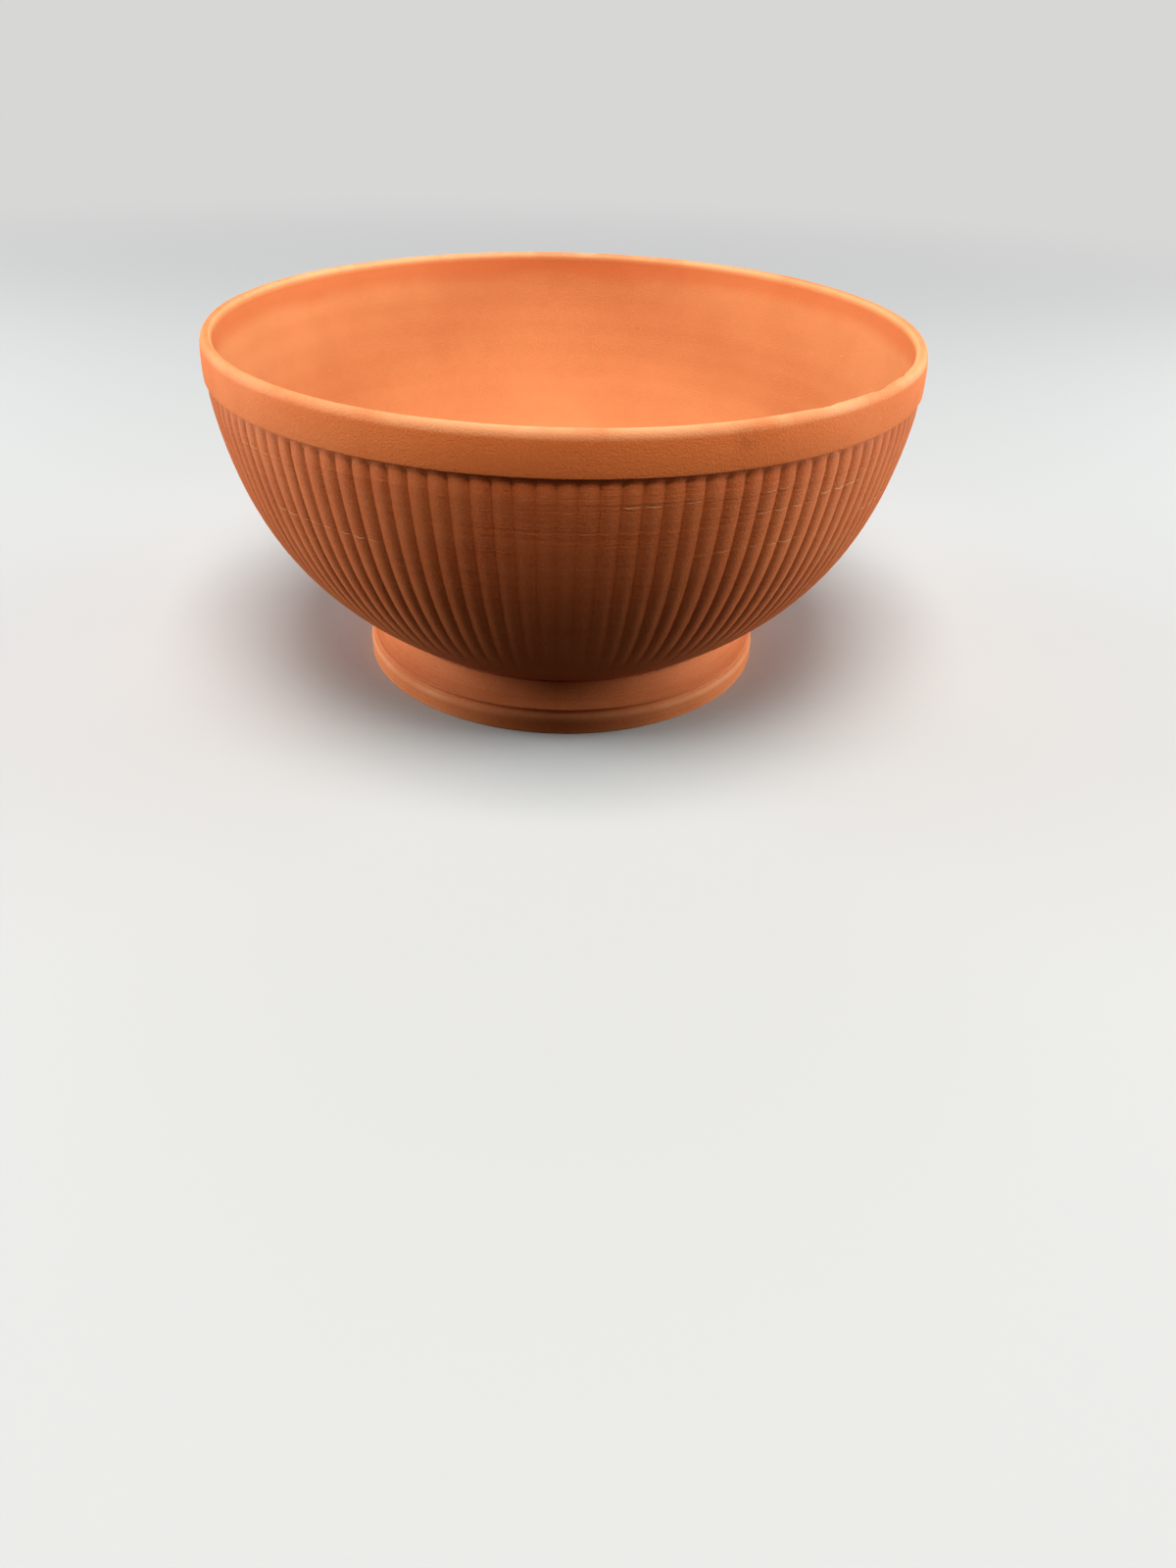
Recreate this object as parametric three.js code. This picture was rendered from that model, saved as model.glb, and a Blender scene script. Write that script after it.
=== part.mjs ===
// Footed bowl of unglazed red earthenware, in millimetres, +Z up.
// The origin is the centre of the circle that the foot stands on, and the front is -Y.
// Three pieces of clay: the reeded bowl, the foot ring it stands on, and the slip that sticks them together.

import * as THREE from 'three';

// Overall size
const rimDiameter = 203;
const overallHeight = 100.7;

// Lip and the plain band under it
const lipThickness = 3.5;
const bandDepth = 10.7;
const bandTaper = 0.1;
const bandProud = 0.3;

// Wall, from the band down to the seat of the foot
const wallThicknessAtBand = 4;
const wallThicknessAtFoot = 5.6;
const floorThickness = 6.5;
const wallAngleAtBand = 83.6;
const wallAngleAtFoot = 33;
const wallHandleAtBand = 35;
const wallHandleAtFoot = 34.5;
const floorFilletStart = 26;

// Reeds, the upright half-round ribs of the wall
const reedCount = 128;
const reedDepth = 0.32;
const reedTopRound = 2.4;
const reedFadeLength = 37;
const plainWallAboveFoot = 14.5;
const grooveAzimuth = -1;

// Foot ring
const footDiameter = 124.2;
const footHeight = 13.9;
const footTopDiameter = 112.6;
const footTopWidth = 8.5;
const footBottomWidth = 8;
const footEdgeRound = 0.4;
const baseBandHeight = 6.1;
const baseBandBulge = 0.1;
const shoulderHeight = 3.9;
const shoulderTurn = 5.6;
const shoulderInset = 1;
const grooveWidth = 1.5;
const grooveInset = 1.6;
const waistInset = 0.9;
const waistFlareHeight = 4;

// Slip joint
const slipThickness = 0.5;
const slipBead = 0.35;

// Mesh fineness
const columnsPerReed = 3;
const reedRows = 6;
const lipSteps = 6;
const innerRows = 7;
const filletSteps = 4;
const shoulderSteps = 4;
const flareSteps = 5;
const footSegments = 96;

const rimRadius = rimDiameter / 2;
const seatHeight = footHeight + slipThickness;
const seatRadius = footTopDiameter / 2;
const bandLowerRadius = rimRadius - bandTaper;
const bandLowerHeight = overallHeight - bandDepth;

const radians = THREE.MathUtils.degToRad;

// Outer wall over the reed crests, as one curve from the seat of the foot up to the band
function wallCurve() {
  const foot = new THREE.Vector2(seatRadius, seatHeight);
  const band = new THREE.Vector2(bandLowerRadius - bandProud, bandLowerHeight);
  const footAngle = radians(wallAngleAtFoot);
  const bandAngle = radians(wallAngleAtBand);
  const footHandle = new THREE.Vector2(Math.cos(footAngle), Math.sin(footAngle));
  const bandHandle = new THREE.Vector2(Math.cos(bandAngle), Math.sin(bandAngle));
  return new THREE.CubicBezierCurve(
    foot,
    foot.clone().addScaledVector(footHandle, wallHandleAtFoot),
    band.clone().addScaledVector(bandHandle, -wallHandleAtBand),
    band,
  );
}

const wall = wallCurve();
const wallLength = wall.getLength();
const reedLength = wallLength - plainWallAboveFoot;

// Point of the wall, this far down from the band and this deep under the crests
function wallPoint(down, depth) {
  const u = THREE.MathUtils.clamp(1 - down / wallLength, 0, 1);
  const point = wall.getPointAt(u);
  const along = wall.getTangentAt(u);
  return new THREE.Vector2(point.x - along.y * depth, point.y + along.x * depth);
}

// Depth under the crests, across a reed from -0.5 to 0.5: an arc as wide as the reed
function reedSection(across) {
  const width = (2 * Math.PI * rimRadius) / reedCount;
  const radius = (width * width / 4 + reedDepth * reedDepth) / (2 * reedDepth);
  return radius - Math.sqrt(radius * radius - (across * width) ** 2);
}

// Share of the grooves' full depth: they fade away towards the foot
function reedFade(down) {
  return 1 - THREE.MathUtils.smoothstep(down, reedLength - reedFadeLength, reedLength);
}

// Plain ring of one point for each reed, the first in line with a groove
function ring(radius, height) {
  const start = radians(grooveAzimuth - 90);
  return Array.from({ length: reedCount }, (_, i) => {
    const angle = start + (2 * Math.PI * i) / reedCount;
    return new THREE.Vector3(radius * Math.cos(angle), radius * Math.sin(angle), height);
  });
}

// Ring over the reeds, each reed starting at its groove
function reededRing(down) {
  const count = reedCount * columnsPerReed;
  const start = radians(grooveAzimuth - 90);
  return Array.from({ length: count }, (_, i) => {
    const across = Math.abs(0.5 - (i % columnsPerReed) / columnsPerReed);
    const { x: radius, y: height } = wallPoint(down, reedSection(across) * reedFade(down));
    const angle = start + (2 * Math.PI * i) / count;
    return new THREE.Vector3(radius * Math.cos(angle), radius * Math.sin(angle), height);
  });
}

// Closed skin over a stack of rings, each ring joined to the next whatever their counts
function skin(rings) {
  const firsts = [];
  const positions = [];
  const faces = [];
  for (const points of rings) {
    firsts.push(positions.length / 3);
    for (const point of points) positions.push(point.x, point.y, point.z);
  }
  for (let k = 0; k + 1 < rings.length; k += 1) {
    const lower = rings[k].length;
    const upper = rings[k + 1].length;
    let i = 0;
    let j = 0;
    while (i < lower || j < upper) {
      const lowerNext = j >= upper || (i < lower && (i + 0.5) / lower < (j + 0.5) / upper);
      const a = firsts[k] + (i % lower);
      const b = firsts[k + 1] + (j % upper);
      if (lowerNext) {
        if (lower > 1) faces.push(a, firsts[k] + ((i + 1) % lower), b);
        i += 1;
      } else {
        if (upper > 1) faces.push(a, firsts[k + 1] + ((j + 1) % upper), b);
        j += 1;
      }
    }
  }
  const geometry = new THREE.BufferGeometry();
  geometry.setAttribute('position', new THREE.Float32BufferAttribute(positions, 3));
  geometry.setIndex(faces);
  geometry.computeVertexNormals();
  return geometry;
}

// Arc of points from one angle to another, in degrees, both ends included
function arc(centre, radius, from, to, steps) {
  return Array.from({ length: steps + 1 }, (_, i) => {
    const angle = radians(from + ((to - from) * i) / steps);
    return new THREE.Vector2(centre.x + radius * Math.cos(angle), centre.y + radius * Math.sin(angle));
  });
}

// Point of the inner wall, across the clay from the outer one
function innerPoint(down) {
  return wallPoint(down, THREE.MathUtils.lerp(wallThicknessAtBand, wallThicknessAtFoot, down / wallLength));
}

// Inside of the bowl below the lip: the inner wall, then a fillet into the flat floor
function innerProfile() {
  const floorHeight = seatHeight + floorThickness;
  const filletDown = wallLength - floorFilletStart;
  const wallPart = Array.from({ length: innerRows }, (_, i) => innerPoint((filletDown * i) / (innerRows - 1)));
  const start = wallPart[innerRows - 1];
  const slope = start.clone().sub(innerPoint(filletDown - 1)).normalize();
  const reach = (start.y - floorHeight) / -slope.y;
  const corner = start.clone().addScaledVector(slope, reach);
  const end = new THREE.Vector2(corner.x - reach, floorHeight);
  const fillet = new THREE.QuadraticBezierCurve(start, corner, end).getPoints(filletSteps);
  return [...wallPart, ...fillet.slice(1)];
}

function bowl() {
  const pole = (height) => [new THREE.Vector3(0, 0, height)];
  const groove = wallPoint(0, reedDepth);
  const reedRow = (i) => reedTopRound + ((reedLength - reedTopRound) * i) / reedRows;
  const plain = wallPoint(reedLength, 0);
  const plainMiddle = wallPoint((reedLength + wallLength) / 2, 0);
  const lipRadius = lipThickness / 2;
  const lipCentre = new THREE.Vector2(rimRadius - lipRadius, overallHeight - lipRadius);

  const rings = [pole(seatHeight), ring(seatRadius, seatHeight)];
  rings.push(ring(plainMiddle.x, plainMiddle.y), ring(plain.x, plain.y));
  for (let i = reedRows - 1; i >= 0; i -= 1) rings.push(reededRing(reedRow(i)));
  rings.push(ring(groove.x, bandLowerHeight), ring(bandLowerRadius, bandLowerHeight));
  for (const point of arc(lipCentre, lipRadius, 0, 180, lipSteps)) rings.push(ring(point.x, point.y));
  const inner = innerProfile();
  for (const point of inner) rings.push(ring(point.x, point.y));
  rings.push(pole(inner[inner.length - 1].y));
  return skin(rings);
}

// Turned solid from a closed outline of radius and height
function turned(outline) {
  const closed = [...outline, outline[0].clone()];
  return new THREE.LatheGeometry(closed, footSegments).rotateX(Math.PI / 2);
}

// Foot ring: flat standing face, a base band with a round shoulder, a groove, and a hollow flare up to the seat
function footRing() {
  const outer = footDiameter / 2;
  const innerBottom = outer - footBottomWidth;
  const innerTop = seatRadius - footTopWidth;
  const point = (radius, height) => new THREE.Vector2(radius, height);
  const side = outer - baseBandBulge;
  const shoulder = new THREE.QuadraticBezierCurve(
    point(outer, shoulderHeight),
    point(outer, shoulderTurn),
    point(outer - shoulderInset, baseBandHeight),
  ).getPoints(shoulderSteps);
  const flareFoot = point(outer - waistInset, baseBandHeight + grooveWidth);
  const flare = new THREE.QuadraticBezierCurve(
    flareFoot,
    point(seatRadius, footHeight - waistFlareHeight),
    point(seatRadius, footHeight),
  ).getPoints(flareSteps);
  return turned([
    point(innerBottom, 0),
    point(side - footEdgeRound, 0),
    point(side, footEdgeRound),
    ...shoulder,
    point(outer - grooveInset, baseBandHeight + grooveWidth / 2),
    ...flare,
    point(innerTop, footHeight),
    point(innerBottom - footEdgeRound, footEdgeRound),
  ]);
}

// Slip: a thin flat layer between foot and bowl, squeezed out in a bead on both sides
function lutingSlip() {
  const inner = seatRadius - footTopWidth;
  const half = slipThickness / 2;
  const middle = footHeight + half;
  return turned([
    new THREE.Vector2(inner, footHeight),
    new THREE.Vector2(seatRadius, footHeight),
    new THREE.Vector2(seatRadius + slipBead, middle),
    new THREE.Vector2(seatRadius, seatHeight),
    new THREE.Vector2(inner, seatHeight),
    new THREE.Vector2(inner - slipBead, middle),
  ]);
}

function piece(name, geometry, color, roughness) {
  const mesh = new THREE.Mesh(geometry, new THREE.MeshStandardMaterial({ color, roughness, metalness: 0 }));
  mesh.name = name;
  return mesh;
}

const footedBowl = new THREE.Group();
footedBowl.add(piece('bowl', bowl(), '#cf7a4a', 0.85));
footedBowl.add(piece('luting_slip', lutingSlip(), '#b9683d', 0.9));
footedBowl.add(piece('foot_ring', footRing(), '#cf7a4a', 0.85));

export default footedBowl;
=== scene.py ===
# Footed bowl of unglazed red earthenware: fine surface, light and camera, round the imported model

import bpy
import math
from mathutils import Matrix, Vector


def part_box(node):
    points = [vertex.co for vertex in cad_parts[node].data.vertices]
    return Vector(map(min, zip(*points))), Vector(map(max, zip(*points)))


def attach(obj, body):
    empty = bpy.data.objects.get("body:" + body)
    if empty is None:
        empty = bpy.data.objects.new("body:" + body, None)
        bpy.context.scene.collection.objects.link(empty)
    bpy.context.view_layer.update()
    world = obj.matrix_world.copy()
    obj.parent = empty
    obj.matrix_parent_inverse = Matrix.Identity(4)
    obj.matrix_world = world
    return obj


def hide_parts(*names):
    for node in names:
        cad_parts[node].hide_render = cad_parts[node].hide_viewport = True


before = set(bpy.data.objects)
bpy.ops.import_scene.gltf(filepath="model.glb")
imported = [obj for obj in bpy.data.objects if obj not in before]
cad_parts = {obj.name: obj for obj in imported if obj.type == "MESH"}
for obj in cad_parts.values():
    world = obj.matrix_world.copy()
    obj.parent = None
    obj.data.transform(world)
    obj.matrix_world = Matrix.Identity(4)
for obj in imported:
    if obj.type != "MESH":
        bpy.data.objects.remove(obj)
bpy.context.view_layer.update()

bowlLow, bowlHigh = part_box("bowl")
slipLow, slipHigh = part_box("luting_slip")
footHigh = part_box("foot_ring")[1]
print("frame loaded:", sorted(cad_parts))


# Small helpers for node trees

def feed(tree, socket, value):
    if isinstance(value, bpy.types.NodeSocket):
        tree.links.new(value, socket)
    else:
        socket.default_value = value


def addNode(tree, kind, inputs=None, **settings):
    made = tree.nodes.new(kind)
    for name, value in settings.items():
        setattr(made, name, value)
    for key, value in (inputs or {}).items():
        feed(tree, made.inputs[key], value)
    return made


def calc(tree, operation, *values, clamp=False):
    made = addNode(tree, "ShaderNodeMath", operation=operation, use_clamp=clamp)
    for socket, value in zip(made.inputs, values):
        feed(tree, socket, value)
    return made.outputs[0]


def ramp(tree, value, fromLow, fromHigh, toLow=0.0, toHigh=1.0, smooth=True):
    style = "SMOOTHSTEP" if smooth else "LINEAR"
    made = addNode(tree, "ShaderNodeMapRange", interpolation_type=style)
    for socket, given in zip(made.inputs, (value, fromLow, fromHigh, toLow, toHigh)):
        feed(tree, socket, given)
    return made.outputs[0]


def newTree(name, kind, inputs, outputs):
    tree = bpy.data.node_groups.new(name, kind)
    for label, socketType, value in inputs:
        socket = tree.interface.new_socket(label, in_out="INPUT", socket_type=socketType)
        if value is not None:
            socket.default_value = value
    for label, socketType in outputs:
        tree.interface.new_socket(label, in_out="OUTPUT", socket_type=socketType)
    given = tree.nodes.new("NodeGroupInput")
    result = tree.nodes.new("NodeGroupOutput")
    return tree, given.outputs, result.inputs


# Camera, at the place the photograph was taken from

cameraSizes = {
    "place": Vector((0.0, -0.3513, 0.1799)),
    "lens": 27.0,
    "sensorSide": 36.0,    # the long side, in millimetres as the lens
    "clipStart": 0.01,
    "lookDown": 34.28,
    "turnRight": 1.66,
    "roll": 1.79,
}


def makeCamera(sizes):
    data = bpy.data.cameras.new("photoCamera")
    data.lens = sizes["lens"]
    data.sensor_width = sizes["sensorSide"]
    data.clip_start = sizes["clipStart"]
    camera = bpy.data.objects.new("photoCamera", data)
    turn = Matrix.Rotation(math.radians(-sizes["turnRight"]), 4, "Z")
    tilt = Matrix.Rotation(math.radians(90 - sizes["lookDown"]), 4, "X")
    roll = Matrix.Rotation(math.radians(sizes["roll"]), 4, "Z")
    camera.matrix_world = Matrix.Translation(sizes["place"]) @ turn @ tilt @ roll
    bpy.context.scene.collection.objects.link(camera)
    bpy.context.scene.camera = camera


makeCamera(cameraSizes)
print("camera placed")


# Outline of a turned piece: points of radius and height, each with its outward normal and marks

def stretch(points, **marks):
    rows = []
    for i, (radius, height) in enumerate(points):
        before = points[max(i - 1, 0)]
        after = points[min(i + 1, len(points) - 1)]
        along = Vector((after[0] - before[0], after[1] - before[1])).normalized()
        rows.append({"radius": radius, "height": height, "normal": (along.y, -along.x), **marks})
    return rows


def arcPoints(centre, radius, start, end, steps):
    angles = [math.radians(start + (end - start) * i / steps) for i in range(steps + 1)]
    return [(centre[0] + radius * math.cos(a), centre[1] + radius * math.sin(a)) for a in angles]


def linePoints(start, end, steps):
    return [tuple(Vector(start).lerp(Vector(end), i / steps)) for i in range(steps + 1)]


def bezierPoints(corners, steps):
    points = [Vector(c) for c in corners]
    made = []
    for i in range(steps + 1):
        level = points
        while len(level) > 1:
            level = [a.lerp(b, i / steps) for a, b in zip(level, level[1:])]
        made.append(tuple(level[0]))
    return made


# Mark that swells from nothing to one in the middle of a stretch and back
def swell(rows, mark):
    for i, row in enumerate(rows):
        row[mark] = math.sin(math.pi * (i + 1) / (len(rows) + 1))
    return rows


def outlineMesh(name, rows):
    mesh = bpy.data.meshes.new(name)
    places = [(row["radius"], 0.0, row["height"]) for row in rows]
    edges = [(i, i + 1) for i in range(len(rows) - 1)]
    mesh.from_pydata(places, edges, [])
    normals = mesh.attributes.new("clayNormal", "FLOAT_VECTOR", "POINT")
    for item, row in zip(normals.data, rows):
        item.vector = (row["normal"][0], 0.0, row["normal"][1])
    for mark in ("down", "reeded", "inside", "uneven", "lipEdge", "edge", "smoothed", "crease"):
        values = mesh.attributes.new(mark, "FLOAT", "POINT")
        for item, row in zip(values.data, rows):
            item.value = row.get(mark, 0.0)
    along = mesh.attributes.new("along", "FLOAT", "POINT")
    travelled = 0.0
    for i, row in enumerate(rows):
        if i:
            travelled += math.dist(places[i], places[i - 1])
        along.data[i].value = travelled
    return mesh


# Geometry Nodes: rows of an outline turned about Z, with reeds pressed into the rows marked for them

# The lip's chips: their pattern, and where they are by the cosine and sine of the angle round the bowl
chippedLip = {
    "scale": 90.0,
    "chips": (0.42, 0.62),
    "rightSide": (0.45, 0.75),
    "frontHalf": (0.1, -0.3),
}


def buildTurnedRows():
    tree, given, result = newTree("turnedRows", "GeometryNodeTree", [
        ("Outline", "NodeSocketGeometry", None),
        ("First Row", "NodeSocketInt", 0),
        ("Row Count", "NodeSocketInt", 2),
        ("Reed Count", "NodeSocketInt", 128),
        ("Columns per Reed", "NodeSocketInt", 2),
        ("Edge Snap", "NodeSocketInt", 1),
        ("Groove Azimuth", "NodeSocketFloat", 0.0),
        ("Reed Depth", "NodeSocketFloat", 0.0),
        ("Reed Width", "NodeSocketFloat", 0.005),
        ("Head Dip", "NodeSocketFloat", 0.0),
        ("Head Length", "NodeSocketFloat", 0.003),
        ("Fade Start", "NodeSocketFloat", 0.05),
        ("Fade Length", "NodeSocketFloat", 0.02),
        ("Spacing Unevenness", "NodeSocketFloat", 0.0),
        ("Depth Unevenness", "NodeSocketFloat", 0.0),
        ("Surface Unevenness", "NodeSocketFloat", 0.0),
        ("Unevenness Size", "NodeSocketFloat", 0.05),
        ("Throwing Ring Height", "NodeSocketFloat", 0.0),
        ("Throwing Ring Pitch", "NodeSocketFloat", 0.007),
        ("Lip Edge Wear", "NodeSocketFloat", 0.0),
        ("Seed", "NodeSocketInt", 3),
    ], [("Mesh", "NodeSocketGeometry")])
    rows = given["Row Count"]
    reeds = given["Reed Count"]
    perReed = given["Columns per Reed"]
    columns = calc(tree, "MULTIPLY", reeds, perReed)
    grid = addNode(tree, "GeometryNodeMeshGrid", {
        "Vertices X": calc(tree, "ADD", columns, 1.0), "Vertices Y": rows,
    })
    index = addNode(tree, "GeometryNodeInputIndex").outputs[0]
    row = calc(tree, "FLOORED_MODULO", index, rows)
    column = calc(tree, "FLOOR", calc(tree, "DIVIDE", calc(tree, "ADD", index, 0.5), rows))

    # On its first and last row a fine grid meets a coarse one, so its columns gather there
    atStart = calc(tree, "LESS_THAN", row, 0.5)
    atEnd = calc(tree, "GREATER_THAN", row, calc(tree, "SUBTRACT", rows, 1.5))
    gathered = calc(tree, "MULTIPLY", given["Edge Snap"], calc(
        tree, "FLOOR", calc(tree, "ADD", calc(tree, "DIVIDE", column, given["Edge Snap"]), 0.5)))
    toGather = calc(tree, "MULTIPLY", calc(tree, "SUBTRACT", gathered, column),
                    calc(tree, "ADD", atStart, atEnd))
    column = calc(tree, "ADD", column, toGather)

    # Columns crowd towards the grooves: equal steps round a half-round reed. The nudge keeps a column
    # that lies on a groove with the reed that starts there.
    turn = calc(tree, "DIVIDE", column, perReed)
    nudge = 0.001
    reed = calc(tree, "FLOOR", calc(tree, "ADD", turn, nudge))
    phase = calc(tree, "MULTIPLY", calc(tree, "SUBTRACT", turn, reed), math.pi)
    across = calc(tree, "MULTIPLY", calc(tree, "COSINE", phase), -0.5)

    # Steps on from the seed, so that spacing and depth are drawn apart
    spacingDraw = 0.0
    depthDraw = 7.0

    def chance(which, low, high, step):
        picked = addNode(tree, "FunctionNodeRandomValue", data_type="FLOAT")
        feed(tree, picked.inputs[2], low)
        feed(tree, picked.inputs[3], high)
        feed(tree, picked.inputs["ID"], calc(tree, "FLOORED_MODULO", which, reeds))
        feed(tree, picked.inputs["Seed"], calc(tree, "ADD", given["Seed"], step))
        return picked.outputs[1]

    unevenSpace = given["Spacing Unevenness"]
    lessSpace = calc(tree, "MULTIPLY", unevenSpace, -1.0)
    nextReed = calc(tree, "ADD", reed, 1.0)
    groove = calc(tree, "ADD", reed, chance(reed, lessSpace, unevenSpace, spacingDraw))
    nextGroove = calc(tree, "ADD", nextReed, chance(nextReed, lessSpace, unevenSpace, spacingDraw))
    share = calc(tree, "ADD", across, 0.5)
    place = calc(tree, "ADD", calc(tree, "MULTIPLY", groove, calc(tree, "SUBTRACT", 1.0, share)),
                 calc(tree, "MULTIPLY", nextGroove, share))
    angle = calc(tree, "ADD", given["Groove Azimuth"],
                 calc(tree, "DIVIDE", calc(tree, "MULTIPLY", place, 2 * math.pi), reeds))

    # What the outline says at this row
    outlineRow = calc(tree, "ADD", given["First Row"], row)

    def fromOutline(name, kind="FLOAT"):
        if name == "position":
            field = addNode(tree, "GeometryNodeInputPosition").outputs[0]
        else:
            named = addNode(tree, "GeometryNodeInputNamedAttribute", {"Name": name}, data_type=kind)
            field = named.outputs[0]
        return addNode(tree, "GeometryNodeSampleIndex", {
            "Geometry": given["Outline"], "Value": field, "Index": outlineRow,
        }, data_type=kind, domain="POINT").outputs[0]

    spot = addNode(tree, "ShaderNodeSeparateXYZ", {0: fromOutline("position", "FLOAT_VECTOR")}).outputs
    out = addNode(tree, "ShaderNodeSeparateXYZ", {0: fromOutline("clayNormal", "FLOAT_VECTOR")}).outputs
    down = fromOutline("down")
    inside = fromOutline("inside")
    along = fromOutline("along")
    cosine = calc(tree, "COSINE", angle)
    sine = calc(tree, "SINE", angle)

    # Reed section: an arc, with a round end under the band and a fade towards the foot
    width = given["Reed Width"]
    lessDeep = calc(tree, "MULTIPLY", given["Depth Unevenness"], -1.0)
    deep = calc(tree, "MULTIPLY", given["Reed Depth"],
                calc(tree, "ADD", 1.0, chance(reed, lessDeep, 0.0, depthDraw)))
    leastDeep = 1e-6
    safeDeep = calc(tree, "MAXIMUM", deep, leastDeep)
    quarter = calc(tree, "MULTIPLY", calc(tree, "MULTIPLY", width, width), 0.25)
    bend = calc(tree, "DIVIDE", calc(tree, "ADD", quarter, calc(tree, "MULTIPLY", safeDeep, safeDeep)),
                calc(tree, "MULTIPLY", safeDeep, 2.0))
    short = calc(tree, "MAXIMUM", calc(tree, "SUBTRACT", 0.5, calc(tree, "DIVIDE", down, width)), 0.0)
    offCentre = calc(tree, "SQRT", calc(tree, "ADD", calc(tree, "MULTIPLY", across, across),
                                        calc(tree, "MULTIPLY", short, short)))
    away = calc(tree, "MULTIPLY", calc(tree, "MINIMUM", offCentre, 0.5), width)
    dip = calc(tree, "SUBTRACT", bend, calc(tree, "SQRT", calc(
        tree, "SUBTRACT", calc(tree, "MULTIPLY", bend, bend), calc(tree, "MULTIPLY", away, away))))
    fade = ramp(tree, down, given["Fade Start"],
                calc(tree, "ADD", given["Fade Start"], given["Fade Length"]), 1.0, 0.0)
    reeded = fromOutline("reeded")
    pressed = calc(tree, "MULTIPLY", reeded, fade)
    head = calc(tree, "MULTIPLY", ramp(tree, down, given["Head Length"], 0.0), given["Head Dip"])
    reedDip = calc(tree, "MULTIPLY", calc(tree, "ADD", dip, head), pressed)

    # The hand in the clay: slow unevenness, a throwing spiral inside, a chipped stretch of the lip
    plainSpot = addNode(tree, "ShaderNodeCombineXYZ", {
        0: calc(tree, "MULTIPLY", spot[0], cosine), 1: calc(tree, "MULTIPLY", spot[0], sine), 2: spot[2],
    }).outputs[0]
    slow = addNode(tree, "ShaderNodeTexNoise", {
        "Vector": plainSpot, "Scale": calc(tree, "DIVIDE", 1.0, given["Unevenness Size"]), "Detail": 1.0,
    }).outputs[0]
    uneven = calc(tree, "MULTIPLY", calc(tree, "MULTIPLY", slow, given["Surface Unevenness"]),
                  fromOutline("uneven"))
    spiral = calc(tree, "ADD", calc(tree, "DIVIDE", along, given["Throwing Ring Pitch"]),
                  calc(tree, "DIVIDE", angle, 2 * math.pi))
    wave = calc(tree, "ADD", calc(tree, "MULTIPLY", calc(
        tree, "SINE", calc(tree, "MULTIPLY", spiral, 2 * math.pi)), 0.5), 0.5)
    rings = calc(tree, "MULTIPLY", calc(tree, "MULTIPLY", wave, given["Throwing Ring Height"]), inside)
    quick = addNode(tree, "ShaderNodeTexNoise", {
        "Vector": plainSpot, "Scale": chippedLip["scale"], "Detail": 2.0,
    }).outputs[0]
    stretchShare = calc(tree, "MULTIPLY", ramp(tree, cosine, *chippedLip["rightSide"]),
                        ramp(tree, sine, *chippedLip["frontHalf"]))
    chips = calc(tree, "MULTIPLY", ramp(tree, quick, *chippedLip["chips"]), fromOutline("lipEdge"))
    worn = calc(tree, "MULTIPLY", chips, calc(tree, "MULTIPLY", given["Lip Edge Wear"], stretchShare))
    sunk = calc(tree, "ADD", calc(tree, "ADD", reedDip, uneven), calc(tree, "ADD", rings, worn))

    radius = calc(tree, "SUBTRACT", spot[0], calc(tree, "MULTIPLY", out[0], sunk))
    height = calc(tree, "SUBTRACT", spot[2], calc(tree, "MULTIPLY", out[2], sunk))
    turned = addNode(tree, "ShaderNodeCombineXYZ", {
        0: calc(tree, "MULTIPLY", radius, cosine), 1: calc(tree, "MULTIPLY", radius, sine), 2: height,
    }).outputs[0]

    shape = grid.outputs["Mesh"]
    grooveShare = calc(tree, "MULTIPLY", calc(tree, "DIVIDE", dip, safeDeep), pressed)
    # The crease mark joins the groove share, so that the foot's groove takes painted shade like the reeds'
    # grooves
    grooveShare = calc(tree, "MAXIMUM", grooveShare, fromOutline("crease"))
    stored = (("groove", grooveShare), ("pressed", pressed), ("inside", inside), ("along", along),
              ("edge", fromOutline("edge")), ("smoothed", fromOutline("smoothed")))
    for name, value in stored:
        shape = addNode(tree, "GeometryNodeStoreNamedAttribute", {
            "Geometry": shape, "Name": name, "Value": value,
        }, data_type="FLOAT", domain="POINT").outputs[0]
    shape = addNode(tree, "GeometryNodeSetPosition", {"Geometry": shape, "Position": turned}).outputs[0]
    feed(tree, result["Mesh"], shape)
    return tree


turnedRows = buildTurnedRows()


# One tree for each turned piece: its stretches of rows, joined, welded, smoothed and given their clay

weldDistance = 2e-6


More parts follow.
